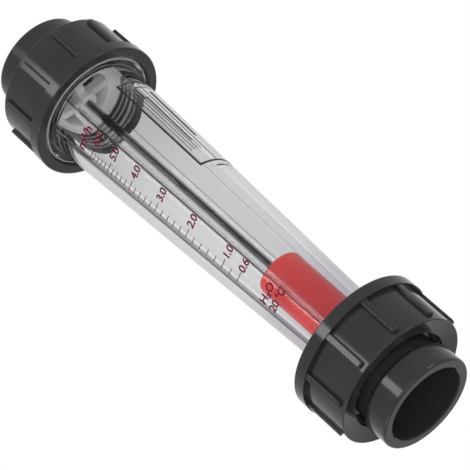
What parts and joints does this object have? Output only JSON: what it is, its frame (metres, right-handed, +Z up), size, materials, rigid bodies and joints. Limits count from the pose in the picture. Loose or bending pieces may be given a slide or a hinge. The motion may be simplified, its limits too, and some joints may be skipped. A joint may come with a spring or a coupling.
{
  "type": "water flow meter",
  "caption": "Clear tapered tube with a printed scale and a red float on a steel guide rod, held between ribbed union nuts on glued pipe sockets.",
  "frame": {"origin": "middle of the lower pipe socket's face, which the meter stands on", "axes": "+Z up along the flow and the guide rod, -Y out of the flat that carries the printed scale, +X to the right of the scale"},
  "size_m": [0.0736, 0.0736, 0.285],
  "materials": {
    "dark_pvc": "satin moulded",
    "clear_plastic": "clear moulded",
    "grey_plastic": "satin moulded",
    "red_plastic": "glossy moulded",
    "white_plastic": "satin machined",
    "stainless_steel": "ground",
    "black_rubber": "matte"
  },
  "bodies": {
    "base": {"lower_end_connector": "dark_pvc", "lower_o_ring": "black_rubber"},
    "lower_nut": {"lower_union_nut": "dark_pvc"},
    "tube_unit": {"measuring_tube": "clear_plastic", "lower_guide_bracket": "grey_plastic", "upper_guide_bracket": "grey_plastic", "guide_rod": "stainless_steel", "rod_washer": "stainless_steel", "rod_nut": "stainless_steel", "lower_stop_buffer": "black_rubber", "upper_stop_buffer": "grey_plastic"},
    "float": {"float_shell": "red_plastic", "float_end_cap": "red_plastic", "float_cap_seal": "black_rubber", "float_weight": "stainless_steel", "float_lower_bush": "white_plastic", "float_upper_bush": "white_plastic"},
    "upper_connector": {"upper_end_connector": "dark_pvc", "upper_o_ring": "black_rubber"},
    "upper_nut": {"upper_union_nut": "dark_pvc"}
  },
  "joints": [
    {"name": "lower_nut_turn", "type": "hinge", "parent": "base", "child": "lower_nut", "pos_m": [0, 0, 0.03], "axis": [0, 0, -1], "range_deg": [0, 1800]},
    {"name": "tube_lift", "type": "slide", "parent": "base", "child": "tube_unit", "axis": [0, 0, 1], "range_m": [0, 0.015]},
    {"name": "float_slide", "type": "slide", "parent": "tube_unit", "child": "float", "axis": [0, 0, 1], "range_m": [0, 0.1441]},
    {"name": "upper_connector_lift", "type": "slide", "parent": "tube_unit", "child": "upper_connector", "axis": [0, 0, 1], "range_m": [0, 0.015]},
    {"name": "upper_nut_turn", "type": "hinge", "parent": "upper_connector", "child": "upper_nut", "pos_m": [0, 0, 0.255], "axis": [0, 0, 1], "range_deg": [0, 1800]}
  ],
  "couplings": [
    {"joint": "lower_nut_turn", "follows": "tube_lift", "rad_per_m": 2094.4},
    {"joint": "upper_nut_turn", "follows": "upper_connector_lift", "rad_per_m": 2094.4}
  ]
}
